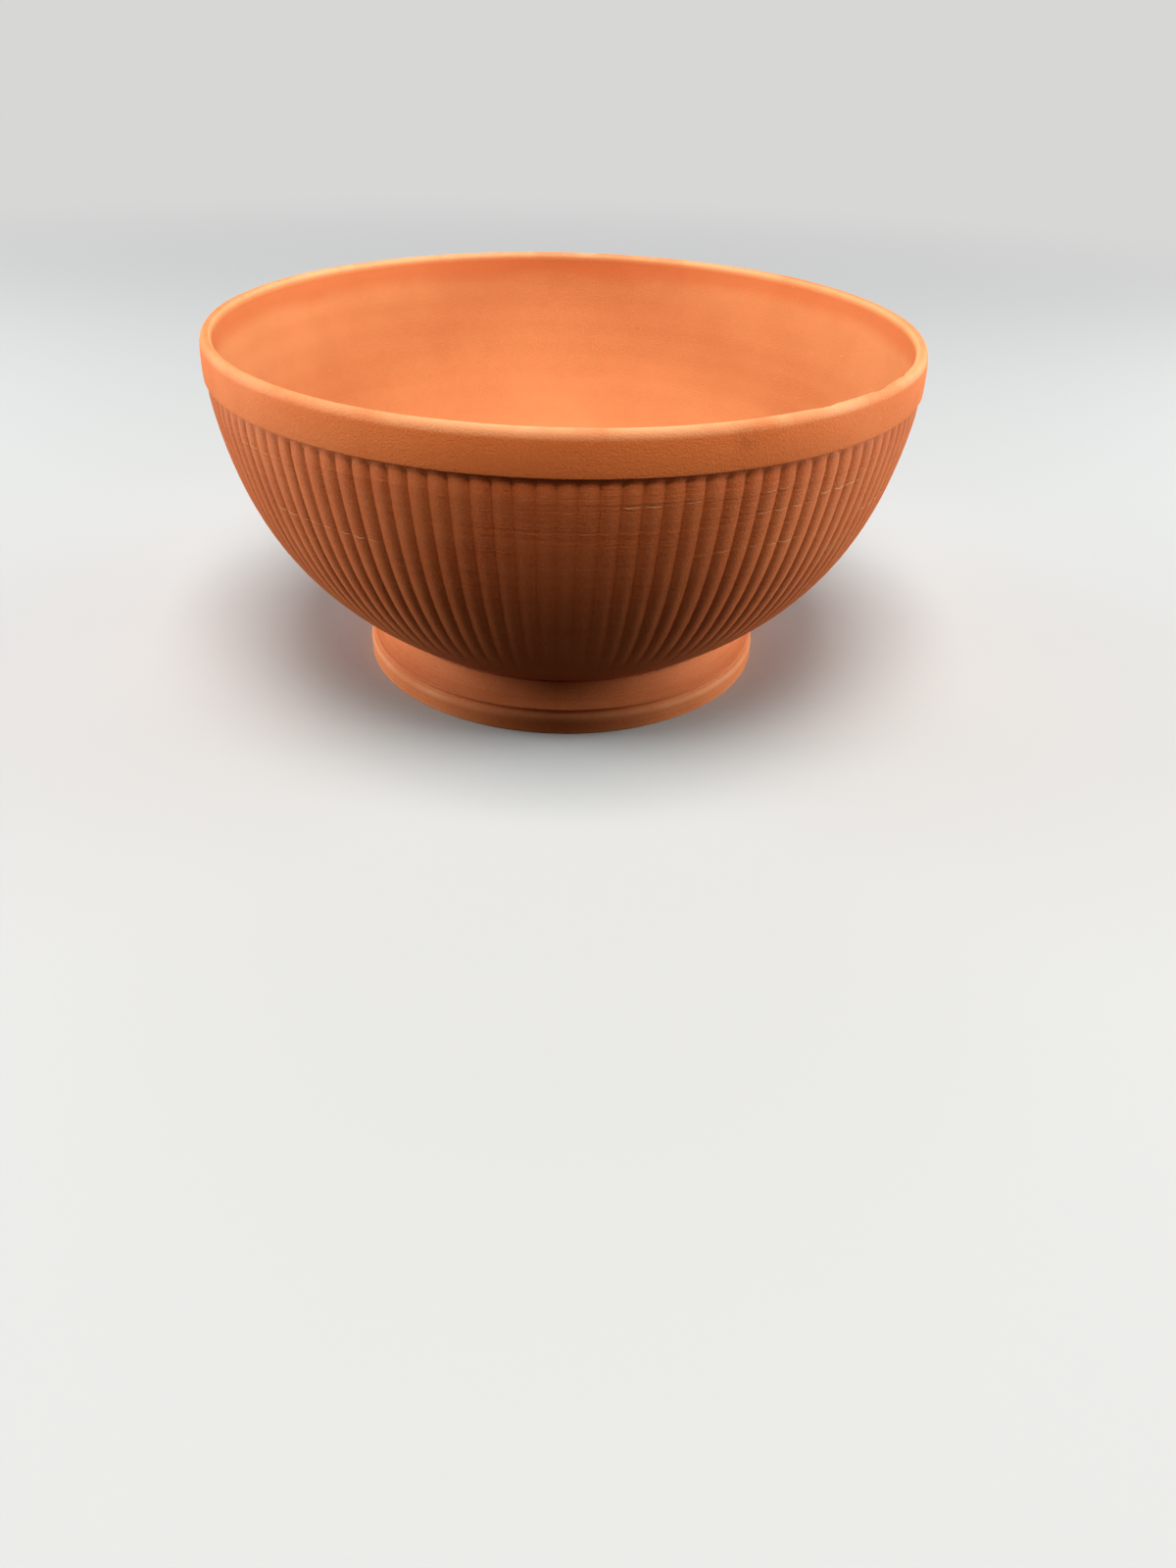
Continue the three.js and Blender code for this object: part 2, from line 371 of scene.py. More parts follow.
def turnedPiece(name, rows, stretches, values, material):
    tree, given, result = newTree(name, "GeometryNodeTree", [("Outline", "NodeSocketGeometry", None)] + [
        (label, "NodeSocketInt" if isinstance(value, int) else "NodeSocketFloat", value)
        for label, value in values.items()
    ], [("Piece", "NodeSocketGeometry")])
    joined = addNode(tree, "GeometryNodeJoinGeometry")
    for first, last, perReed, snap in stretches:
        part = addNode(tree, "GeometryNodeGroup", node_tree=turnedRows)
        feed(tree, part.inputs["Outline"], given["Outline"])
        for label in values:
            feed(tree, part.inputs[label], given[label])
        part.inputs["First Row"].default_value = first
        part.inputs["Row Count"].default_value = last - first + 1
        part.inputs["Columns per Reed"].default_value = perReed
        part.inputs["Edge Snap"].default_value = snap
        tree.links.new(part.outputs[0], joined.inputs[0])
    welded = addNode(tree, "GeometryNodeMergeByDistance", {
        "Geometry": joined.outputs[0], "Distance": weldDistance,
    })
    smooth = addNode(tree, "GeometryNodeSetShadeSmooth", {"Geometry": welded.outputs[0]})
    real = addNode(tree, "GeometryNodeRealizeInstances", {"Geometry": smooth.outputs[0]})
    clay = addNode(tree, "GeometryNodeSetMaterial", {"Geometry": real.outputs[0], "Material": material})
    feed(tree, result["Piece"], clay.outputs[0])

    source = bpy.data.objects.new(name + "Outline", outlineMesh(name + "Outline", rows))
    bpy.context.scene.collection.objects.link(source)
    modifier = source.modifiers.new("turning", "NODES")
    modifier.node_group = tree
    sockets = {item.name: item.identifier for item in tree.interface.items_tree if item.in_out == "INPUT"}
    for label, value in values.items():
        modifier[sockets[label]] = value
    ready = source.evaluated_get(bpy.context.evaluated_depsgraph_get())
    mesh = bpy.data.meshes.new_from_object(ready)
    mesh.name = name
    piece = bpy.data.objects.new(name, mesh)
    bpy.context.scene.collection.objects.link(piece)
    source.modifiers.remove(modifier)
    bpy.data.objects.remove(source)
    print(name, "has", len(mesh.vertices), "points and", len(mesh.polygons), "faces")
    return piece


# Shader groups shared by the clays: the pattern of each, in repeats a metre, metres, radians and shares

patternSizes = {
    "mottle": (0.3, 0.7),
    "speckScale": 520.0,
    "speckRound": (0.32, 0.12),
    "lineTurns": 1.6,
    "lines": (0.32, 0.68),
    "fuzzScale": 260.0,
    "scratchDrift": 0.0012,
    "scratchCore": 0.2,
    "scratchEnd": 0.02,
    "scratchGaps": (0.32, 0.52),
    "cloudScale": 500.0,
    "clouds": (0.3, 0.6),
}


def buildClayGrain():
    tree, given, result = newTree("clayGrain", "ShaderNodeTree", [
        ("Vector", "NodeSocketVector", None),
        ("Grain Size", "NodeSocketFloat", 0.0005),
        ("Mottle Size", "NodeSocketFloat", 0.03),
        ("Speck Share", "NodeSocketFloat", 0.03),
    ], [("Mottle", "NodeSocketFloat"), ("Grain", "NodeSocketFloat"), ("Specks", "NodeSocketFloat")])
    spot = given["Vector"]
    grain = addNode(tree, "ShaderNodeTexNoise", {
        "Vector": spot, "Scale": calc(tree, "DIVIDE", 1.0, given["Grain Size"]),
        "Detail": 2.0, "Roughness": 0.6,
    })
    mottle = addNode(tree, "ShaderNodeTexNoise", {
        "Vector": spot, "Scale": calc(tree, "DIVIDE", 1.0, given["Mottle Size"]),
        "Detail": 4.0, "Roughness": 0.55,
    })
    specks = addNode(tree, "ShaderNodeTexVoronoi", {"Vector": spot, "Scale": patternSizes["speckScale"]})
    draw = addNode(tree, "ShaderNodeSeparateColor", {0: specks.outputs["Color"]}).outputs[0]
    chosen = calc(tree, "LESS_THAN", draw, given["Speck Share"])
    dots = ramp(tree, specks.outputs["Distance"], *patternSizes["speckRound"])
    feed(tree, result["Mottle"], ramp(tree, mottle.outputs[0], *patternSizes["mottle"]))
    feed(tree, result["Grain"], grain.outputs[0])
    feed(tree, result["Specks"], calc(tree, "MULTIPLY", chosen, dots))
    return tree


def buildTurningLines():
    tree, given, result = newTree("turningLines", "ShaderNodeTree", [
        ("Vector", "NodeSocketVector", None),
        ("Along", "NodeSocketFloat", 0.0),
        ("Spacing", "NodeSocketFloat", 0.0008),
    ], [("Lines", "NodeSocketFloat")])
    split = addNode(tree, "ShaderNodeSeparateXYZ", {0: given["Vector"]}).outputs
    flat = addNode(tree, "ShaderNodeCombineXYZ", {0: split[0], 1: split[1]}).outputs[0]
    around = addNode(tree, "ShaderNodeVectorMath", {0: flat}, operation="NORMALIZE").outputs[0]
    lifted = addNode(tree, "ShaderNodeCombineXYZ", {
        2: calc(tree, "DIVIDE", given["Along"], given["Spacing"])}).outputs[0]
    slowTurn = addNode(tree, "ShaderNodeVectorMath", {0: around, "Scale": patternSizes["lineTurns"]},
                       operation="SCALE").outputs[0]
    spot = addNode(tree, "ShaderNodeVectorMath", {0: slowTurn, 1: lifted}, operation="ADD").outputs[0]
    lines = addNode(tree, "ShaderNodeTexNoise", {
        "Vector": spot, "Scale": 1.0, "Detail": 3.0, "Roughness": 0.6,
    })
    feed(tree, result["Lines"], ramp(tree, lines.outputs[0], *patternSizes["lines"]))
    return tree


def buildScratchMark():
    tree, given, result = newTree("scratchMark", "ShaderNodeTree", [
        ("Vector", "NodeSocketVector", None),
        ("Height", "NodeSocketFloat", 0.07),
        ("From", "NodeSocketFloat", 0.0),
        ("To", "NodeSocketFloat", 0.5),
        ("Thickness", "NodeSocketFloat", 0.0003),
        ("Strength", "NodeSocketFloat", 1.0),
    ], [("Mark", "NodeSocketFloat")])
    split = addNode(tree, "ShaderNodeSeparateXYZ", {0: given["Vector"]}).outputs
    azimuth = calc(tree, "ARCTAN2", split[0], calc(tree, "MULTIPLY", split[1], -1.0))
    fuzz = addNode(tree, "ShaderNodeTexNoise", {
        "Vector": given["Vector"], "Scale": patternSizes["fuzzScale"], "Detail": 3.0,
    }).outputs[0]
    drift = calc(tree, "MULTIPLY", calc(tree, "SUBTRACT", fuzz, 0.5), patternSizes["scratchDrift"])
    above = calc(tree, "SUBTRACT", split[2], given["Height"])
    off = calc(tree, "ABSOLUTE", calc(tree, "ADD", above, drift))
    core = calc(tree, "MULTIPLY", given["Thickness"], patternSizes["scratchCore"])
    thin = ramp(tree, off, given["Thickness"], core)
    start, end, soft = given["From"], given["To"], patternSizes["scratchEnd"]
    begun = ramp(tree, azimuth, calc(tree, "SUBTRACT", start, soft), calc(tree, "ADD", start, soft))
    ended = ramp(tree, azimuth, calc(tree, "ADD", end, soft), calc(tree, "SUBTRACT", end, soft))
    broken = ramp(tree, fuzz, *patternSizes["scratchGaps"])
    inReach = calc(tree, "MULTIPLY", begun, ended)
    feed(tree, result["Mark"], calc(tree, "MULTIPLY", calc(tree, "MULTIPLY", thin, inReach),
                                    calc(tree, "MULTIPLY", broken, given["Strength"])))
    return tree


def buildSoftSmudge():
    tree, given, result = newTree("softSmudge", "ShaderNodeTree", [
        ("Vector", "NodeSocketVector", None),
        ("Place", "NodeSocketVector", (0.1, 0.0, 0.1)),
        ("Size", "NodeSocketFloat", 0.004),
        ("Strength", "NodeSocketFloat", 0.3),
    ], [("Mark", "NodeSocketFloat")])
    away = addNode(tree, "ShaderNodeVectorMath", {0: given["Vector"], 1: given["Place"]},
                   operation="DISTANCE")
    cloudy = addNode(tree, "ShaderNodeTexNoise", {
        "Vector": given["Vector"], "Scale": patternSizes["cloudScale"], "Detail": 3.0,
    }).outputs[0]
    near = ramp(tree, away.outputs["Value"], given["Size"], 0.0)
    clouded = calc(tree, "MULTIPLY", near, ramp(tree, cloudy, *patternSizes["clouds"]))
    feed(tree, result["Mark"], calc(tree, "MULTIPLY", clouded, given["Strength"]))
    return tree


clayGrain = buildClayGrain()
turningLines = buildTurningLines()
scratchMark = buildScratchMark()
softSmudge = buildSoftSmudge()


# Clays: where each effect begins and ends on the mask that it follows, and its share there

clayMasks = {
    "linesLost": 0.85,
    "fineGrain": (0.35, 0.75),
    "speckShare": 0.5,
    "grooveShadeSpan": (0.7, 1.0),
    "crest": (0.35, 0.0),
    "crestShare": 0.08,
    "wornPatches": (0.0, 0.8, 0.4, 1.0),
    "runShape": (1.0, 1.0, 0.3),
    "runScale": 260.0,
    "runs": (0.52, 0.66),
    "chafedSide": (0.5, 1.2, 0.15, 1.0),
    "shoulderFrom": (0.25, 0.5),
    "shoulderTo": (0.85, 0.6),
    "raggedScale": 45.0,
    "raggedHeight": 0.004,
    "underLipShadeFade": (-0.0040, 0.0016),
    "scratchedCrest": (0.8, 0.3),
    "scratchShare": 0.7,
    "scratchDepth": 0.5,
    "roughnessSpread": 0.05,
}


def mixColour(tree, share, first, second):
    made = addNode(tree, "ShaderNodeMix", data_type="RGBA")
    feed(tree, made.inputs[0], share)
    feed(tree, made.inputs[6], first)
    feed(tree, made.inputs[7], second)
    return made.outputs[2]


def attribute(tree, name):
    return addNode(tree, "ShaderNodeAttribute", attribute_name=name).outputs["Fac"]


def useGroup(tree, group, inputs):
    return addNode(tree, "ShaderNodeGroup", inputs, node_tree=group).outputs


def makeClay(name, look, marks=(), smudges=()):
    material = bpy.data.materials.new(name)
    material.use_nodes = True
    tree = material.node_tree
    shader = tree.nodes["Principled BSDF"]
    spot = addNode(tree, "ShaderNodeTexCoord").outputs["Object"]
    groove = attribute(tree, "groove")
    inside = attribute(tree, "inside")
    along = attribute(tree, "along")
    smoothed = attribute(tree, "smoothed")
    masks = clayMasks
    grain = useGroup(tree, clayGrain, {
        "Vector": spot, "Grain Size": look["grainSize"],
        "Mottle Size": look["mottleSize"], "Speck Share": look["speckShare"],
    })
    lines = useGroup(tree, turningLines, {
        "Vector": spot, "Along": along, "Spacing": look["lineSpacing"],
    })[0]

    outColour = mixColour(tree, grain["Mottle"], look["deepColour"], look["colour"])
    # Painted light: the inside's clay is paler and yellower than the outside's, standing in for the
    # brighter light inside the bowl; it is the same clay
    insideLitTone = mixColour(tree, grain["Mottle"], look["insideLitDeepColour"], look["insideLitColour"])
    # Painted light: the band and lip are given a lighter copy of the clay than the wall, standing in for
    # the light they catch
    bandLitColour = mixColour(tree, grain["Mottle"], look["bandLitDeepColour"], look["bandLitColour"])
    outColour = mixColour(tree, smoothed, outColour, bandLitColour)
    colour = mixColour(tree, inside, outColour, insideLitTone)
    plain = calc(tree, "MAXIMUM", inside, smoothed)
    lined = calc(tree, "SUBTRACT", 1.0, calc(tree, "MULTIPLY", plain, masks["linesLost"]))
    lines = calc(tree, "MULTIPLY", lines, lined)
    colour = mixColour(tree, calc(tree, "MULTIPLY", lines, look["lineTint"]), colour, look["paleColour"])
    fine = ramp(tree, grain["Grain"], *masks["fineGrain"], 0.0, look["grainTint"], smooth=False)
    colour = mixColour(tree, fine, colour, look["paleColour"])
    speckled = calc(tree, "MULTIPLY", grain["Specks"], masks["speckShare"])
    colour = mixColour(tree, speckled, colour, look["speckColour"])
    # Painted shade: the bottoms of the grooves, and the foot's groove through its crease mark, are
    # darkened towards the smudge and shade colour
    paintedGrooveShade = calc(tree, "MULTIPLY", ramp(tree, groove, *masks["grooveShadeSpan"]), look["grooveShadeShare"])
    colour = mixColour(tree, paintedGrooveShade, colour, look["smudgeAndGrooveShadeColour"])

    # Pale wear on the edges and faintly on the reeds' crests; on the lip it is also a painted highlight,
    # strongest at the front and back and least at the sides of the lip
    pressed = attribute(tree, "pressed")
    crest = calc(tree, "MULTIPLY", calc(tree, "MULTIPLY", ramp(tree, groove, *masks["crest"]), pressed),
                 masks["crestShare"])
    axes = addNode(tree, "ShaderNodeSeparateXYZ", {0: spot}).outputs
    turn = math.radians(look["highlightAzimuth"])
    sideways = calc(tree, "ABSOLUTE", calc(tree, "ADD", calc(tree, "MULTIPLY", axes[0], math.cos(turn)),
                                           calc(tree, "MULTIPLY", axes[1], math.sin(turn))))
    wornAndHighlitEdge = calc(tree, "MULTIPLY", attribute(tree, "edge"), ramp(
        tree, sideways, look["highlightWithin"], look["highlightUpTo"], 1.0, look["highlightAtSides"]))
    rubbedAndHighlit = calc(tree, "MULTIPLY", calc(tree, "MAXIMUM", crest, wornAndHighlitEdge), look["wearAndHighlight"])
    rubbedAndHighlit = calc(tree, "MULTIPLY", rubbedAndHighlit, ramp(tree, grain["Mottle"], *masks["wornPatches"]))

    # Chafing along the reeds' shoulders, in short upright runs and mostly at the right
    tall = addNode(tree, "ShaderNodeVectorMath", {0: spot, 1: masks["runShape"]},
                   operation="MULTIPLY").outputs[0]
    runs = addNode(tree, "ShaderNodeTexNoise", {
        "Vector": tall, "Scale": masks["runScale"], "Detail": 3.0, "Roughness": 0.6,
    }).outputs[0]
    notZero = -0.0001
    depth = calc(tree, "ABSOLUTE", calc(tree, "ADD", axes[1], notZero))
    rightSide = ramp(tree, calc(tree, "DIVIDE", axes[0], depth), *masks["chafedSide"])
    shoulder = calc(tree, "MULTIPLY", ramp(tree, groove, *masks["shoulderFrom"]),
                    ramp(tree, groove, *masks["shoulderTo"]))
    chafed = calc(tree, "MULTIPLY", calc(tree, "MULTIPLY", shoulder, ramp(tree, runs, *masks["runs"])),
                  calc(tree, "MULTIPLY", pressed, rightSide))
    rubbedAndHighlit = calc(tree, "ADD", rubbedAndHighlit, calc(tree, "MULTIPLY", chafed, look["shoulderWear"]), clamp=True)
    colour = mixColour(tree, rubbedAndHighlit, colour, look["wornPaleAndHighlightColour"])

    # Painted shade inside, just under the lip: a darker strip with a ragged lower edge
    ragged = addNode(tree, "ShaderNodeTexNoise", {
        "Vector": spot, "Scale": masks["raggedScale"], "Detail": 5.0,
    }).outputs[0]
    line = calc(tree, "ADD", look["underLipShadeHeight"],
                calc(tree, "MULTIPLY", calc(tree, "SUBTRACT", ragged, 0.5), masks["raggedHeight"]))
    underLipShading = ramp(tree, calc(tree, "SUBTRACT", axes[2], line), *masks["underLipShadeFade"])
    belowLip = calc(tree, "MULTIPLY", inside, calc(tree, "SUBTRACT", 1.0, smoothed))
    underLipShading = calc(tree, "MULTIPLY", calc(tree, "MULTIPLY", underLipShading, belowLip), look["underLipShade"])
    colour = mixColour(tree, underLipShading, colour, look["deepColour"])

    for azimuth, high, size, strength in smudges:
        turn = math.radians(azimuth)
        place = (look["smudgeRadius"] * math.sin(turn), -look["smudgeRadius"] * math.cos(turn), high)
        smudged = useGroup(tree, softSmudge, {
            "Vector": spot, "Place": place, "Size": size, "Strength": strength,
        })[0]
        colour = mixColour(tree, smudged, colour, look["smudgeAndGrooveShadeColour"])

    # Scratches show only outside, and on the crests of the reeds
    marked = None
    for high, start, end, strength in marks:
        one = useGroup(tree, scratchMark, {
            "Vector": spot, "Height": high, "From": math.radians(start), "To": math.radians(end),
            "Strength": strength,
        })[0]
        marked = one if marked is None else calc(tree, "MAXIMUM", marked, one)
    if marks:
        outside = calc(tree, "SUBTRACT", 1.0, inside)
        onCrest = calc(tree, "MULTIPLY", outside, ramp(tree, groove, *masks["scratchedCrest"]))
        marked = calc(tree, "MULTIPLY", marked, onCrest)
        scratched = calc(tree, "MULTIPLY", marked, masks["scratchShare"])
        colour = mixColour(tree, scratched, colour, look["scratchColour"])
    feed(tree, shader.inputs["Base Color"], colour)

    spread = masks["roughnessSpread"]
    rough = ramp(tree, grain["Mottle"], 0.0, 1.0, look["roughness"] + spread, look["roughness"] - spread,
                 smooth=False)
    feed(tree, shader.inputs["Roughness"], calc(tree, "SUBTRACT", rough, calc(
        tree, "MULTIPLY", rubbedAndHighlit, look["rubbedGloss"])))
    shader.inputs["Specular IOR Level"].default_value = look["sheen"]

    heights = calc(tree, "ADD", calc(tree, "MULTIPLY", grain["Grain"], look["grainBump"]),
                   calc(tree, "MULTIPLY", lines, look["lineBump"]))
    heights = calc(tree, "ADD", heights, calc(tree, "MULTIPLY", grain["Specks"], -look["grainBump"]))
    if marks:
        heights = calc(tree, "SUBTRACT", heights, calc(tree, "MULTIPLY", marked, masks["scratchDepth"]))
    bump = addNode(tree, "ShaderNodeBump", {"Height": heights, "Distance": look["bumpDepth"]})
    feed(tree, shader.inputs["Normal"], bump.outputs[0])
    return material


bowlClayLook = {
    "colour": (0.65, 0.131, 0.025, 1.0),
    "deepColour": (0.57, 0.102, 0.018, 1.0),
    # Band and lip: a lighter copy of the clay, painted light for the light they catch
    "bandLitColour": (0.75, 0.172, 0.035, 1.0),
    "bandLitDeepColour": (0.68, 0.143, 0.027, 1.0),
    # Inside: a paler, yellower copy of the clay, painted light for the brighter inside
    "insideLitColour": (0.72, 0.290, 0.115, 1.0),
    "insideLitDeepColour": (0.66, 0.250, 0.095, 1.0),
    "paleColour": (0.82, 0.37, 0.18, 1.0),
    # Pale wear, which on the lip is also a painted highlight
    "wornPaleAndHighlightColour": (0.90, 0.54, 0.29, 1.0),
    "speckColour": (0.80, 0.42, 0.24, 1.0),
    # Colour of the real smudges, and of the painted shade in the grooves
    "smudgeAndGrooveShadeColour": (0.24, 0.058, 0.020, 1.0),
    "scratchColour": (0.88, 0.44, 0.23, 1.0),
    "smudgeRadius": 0.1013,
    "grainSize": 0.0005,
    "mottleSize": 0.028,
    "speckShare": 0.0012,
    "lineSpacing": 0.0011,
    "lineTint": 0.05,
    "grainTint": 0.20,
    # Share of painted shade in the grooves
    "grooveShadeShare": 0.12,
    # Wear, with the lip's painted highlight, strongest at the front and back
    "wearAndHighlight": 0.55,
    "highlightAzimuth": 15.0,
    "highlightWithin": 0.060,
    "highlightUpTo": 0.095,
    "highlightAtSides": 0.45,
    "shoulderWear": 0.2,
    # Painted shade inside, just under the lip: its height and strength
    "underLipShadeHeight": 0.0942,
    "underLipShade": 0.5,
    "roughness": 0.82,
    "rubbedGloss": 0.40,
    "sheen": 0.2,
    "grainBump": 0.5,
    "lineBump": 0.2,
    "bumpDepth": 0.00022,
}
footClayLook = {
    **bowlClayLook,
    "colour": (0.65, 0.160, 0.044, 1.0), "deepColour": (0.57, 0.128, 0.033, 1.0),
    # The foot: stronger painted shade in its groove, lighter wear and highlight on its edges, no shade
    # under a lip
    "lineSpacing": 0.0009, "lineTint": 0.06, "underLipShade": 0.0, "wearAndHighlight": 0.2, "grooveShadeShare": 0.35,
}
slipClayLook = {
    **bowlClayLook,
    "colour": (0.48, 0.135, 0.046, 1.0), "deepColour": (0.36, 0.095, 0.034, 1.0),
    "grainSize": 0.0008, "lineTint": 0.0, "wearAndHighlight": 0.1, "underLipShade": 0.0, "roughness": 0.85, "lineBump": 0.0,
}

# Pale marks that a tool left across the reeds: height, from and to in degrees right of the front, strength
toolMarks = (
    (0.0683, -48.5, -27.5, 0.7),
    (0.0690, 19.5, 30.5, 0.5),
    (0.0682, 30.5, 37.0, 0.9),
    (0.0683, 52.0, 63.0, 0.6),
    (0.0829, 7.0, 14.0, 0.8),
    (0.0832, 16.0, 19.0, 0.6),
    (0.0832, -55.0, -43.0, 0.3),
    (0.0835, 28.0, 31.5, 0.5),
    (0.0793, 38.5, 47.5, 0.9),
    (0.0779, 26.5, 37.0, 0.6),
)

# Faint smudges on the band and the lip: degrees right of the front, height, size, strength
smudges = (
    (23.5, 0.0970, 0.0045, 0.3),
    (84.5, 0.0985, 0.0022, 0.6),
)

bowlClay = makeClay("unglazedBowlClay", bowlClayLook, toolMarks, smudges)
footClay = makeClay("unglazedFootClay", footClayLook)
slipClay = makeClay("driedSlip", slipClayLook)
print("clays mixed")


# The bowl

bowlSizes = {
    "rimRadius": min(bowlHigh.x, bowlHigh.y),
    "top": bowlHigh.z,
    "seat": bowlLow.z,
    "seatRadius": 0.0563,
    "lip": 0.0035,
    "lipDrop": 0.0030,
    "bandDepth": 0.0111,
    "bandTaper": 0.0001,
    "bandProud": 0.0003,
    "bandEdgeRound": 0.0004,
    "bandLean": 0.0004,
    "bandUndercut": 0.0002,
    "ledgeMargin": 0.0003,
    "lipStart": 8.0,          # degrees above level
    "chippedFrom": 5,         # first of the lip's rows that is chipped, and first that counts as inside
    "insideFrom": 10,
    "collarHeight": 0.0068,
    "collarLean": 0.0003,
    "collarBlend": 0.0050,
    "wallAtBand": 0.0040,
    "wallAtFoot": 0.0056,
    "floor": 0.0065,
    "wallAngleAtBand": 83.6,
    "wallAngleAtFoot": 33.0,
    "wallHandleAtBand": 0.0350,
    "wallHandleAtFoot": 0.0345,
    "floorFilletStart": 0.026,
    "plainWallAboveFoot": 0.0145,
    "reedCount": 128,
    "reedDepth": 0.00045,
    "reedFade": 0.037,
    "headDip": 0.0004,
    "headLength": 0.0055,
    "grooveAzimuth": -1.0,
    "spacingUneven": 0.03,
    "depthUneven": 0.12,
    "surfaceUneven": 0.00025,
    "unevenSize": 0.045,
    "ringHeight": 0.00008,
    "ringPitch": 0.0075,
    "lipChips": 0.0005,
    "seed": 11,
    "poleRadius": 0.001,
    "seatCentre": 0.005,
    "floorCentre": 0.004,
    "wallRow": 0.0015,
    "headRow": 0.000375,
    "headSpan": 0.0030,
    "curveSteps": 600,
    "seatSteps": 12,
    "edgeSteps": 4,
    "bandSteps": 12,
    "lipSteps": 14,
    "collarSteps": 12,
    "innerSteps": 34,
    "filletSteps": 12,
    "floorSteps": 10,
    "columnsPerReed": 8,
    "coarseColumnsPerReed": 2,
}


# The wall over the reeds' crests, from the band down to the seat, and how far down each point lies
def wallCurve(sizes):
    bandHeight = sizes["top"] - sizes["bandDepth"]
    footAngle = math.radians(sizes["wallAngleAtFoot"])
    bandAngle = math.radians(sizes["wallAngleAtBand"])
    foot = Vector((sizes["seatRadius"], sizes["seat"]))
    band = Vector((sizes["rimRadius"] - sizes["bandTaper"] - sizes["bandProud"], bandHeight))
    footHandle = foot + sizes["wallHandleAtFoot"] * Vector((math.cos(footAngle), math.sin(footAngle)))
    bandHandle = band - sizes["wallHandleAtBand"] * Vector((math.cos(bandAngle), math.sin(bandAngle)))
    dense = [Vector(p) for p in bezierPoints((band, bandHandle, footHandle, foot), sizes["curveSteps"])]
    travelled = [0.0]
    for a, b in zip(dense, dense[1:]):
        travelled.append(travelled[-1] + (b - a).length)
    return dense, travelled


def wallPoint(curve, down, depth=0.0):
    dense, travelled = curve
    down = min(max(down, 0.0), travelled[-1])
    k = min(max(1, next(i for i, t in enumerate(travelled) if t >= down)), len(dense) - 1)
    share = (down - travelled[k - 1]) / (travelled[k] - travelled[k - 1])
    along = (dense[k - 1] - dense[k]).normalized()
    point = dense[k - 1].lerp(dense[k], share)
    out = Vector((along.y, -along.x))
    return point - depth * out, out


